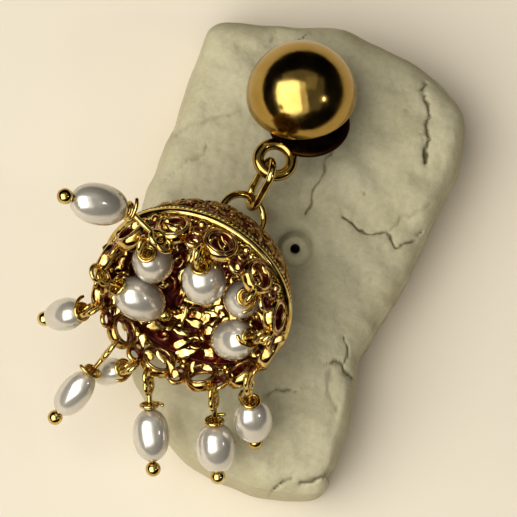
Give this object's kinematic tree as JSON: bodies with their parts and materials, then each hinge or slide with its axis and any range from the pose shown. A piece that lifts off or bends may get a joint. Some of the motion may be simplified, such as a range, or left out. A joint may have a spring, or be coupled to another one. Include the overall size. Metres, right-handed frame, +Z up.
{
  "type": "jhumka earring on a clay display slab",
  "caption": "Bell-shaped jhumka earring with a half-ball stud, link chain and oval pearl drops, lying on a thick hand-shaped clay slab that holds its post",
  "frame": {"origin": "centre of the clay slab's flat underside, where it rests", "axes": "+Z up out of the slab, +Y along the slab towards the ball stud, +X to the right when the stud is at the top and the slab is seen from above"},
  "size_m": [0.0395, 0.0445, 0.0315],
  "materials": {
    "clay": "matte air-dried clay, finely mottled and cracked",
    "gilt_brass": "polished gilt",
    "gilt_filigree": "soldered and antiqued gilt wire, dark in its hollows",
    "gilt_wire": "bright drawn gilt wire",
    "pearl": "satin nacre with a soft sheen"
  },
  "bodies": {
    "root": {"clay_slab": "clay", "ball_stud": "gilt_brass", "chain_link_upper": "gilt_brass", "chain_link_lower": "gilt_brass", "jhumka_bell": "gilt_filigree", "head_pin_01": "gilt_wire", "pearl_01": "pearl", "head_pin_02": "gilt_wire", "pearl_02": "pearl", "head_pin_03": "gilt_wire", "pearl_03": "pearl", "head_pin_04": "gilt_wire", "pearl_04": "pearl", "head_pin_05": "gilt_wire", "pearl_05": "pearl", "head_pin_06": "gilt_wire", "pearl_06": "pearl", "head_pin_07": "gilt_wire", "pearl_07": "pearl", "head_pin_08": "gilt_wire", "pearl_08": "pearl", "head_pin_09": "gilt_wire", "pearl_09": "pearl", "head_pin_10": "gilt_wire", "pearl_10": "pearl", "head_pin_11": "gilt_wire", "pearl_11": "pearl", "head_pin_12": "gilt_wire", "pearl_12": "pearl"}
  },
  "joints": []
}
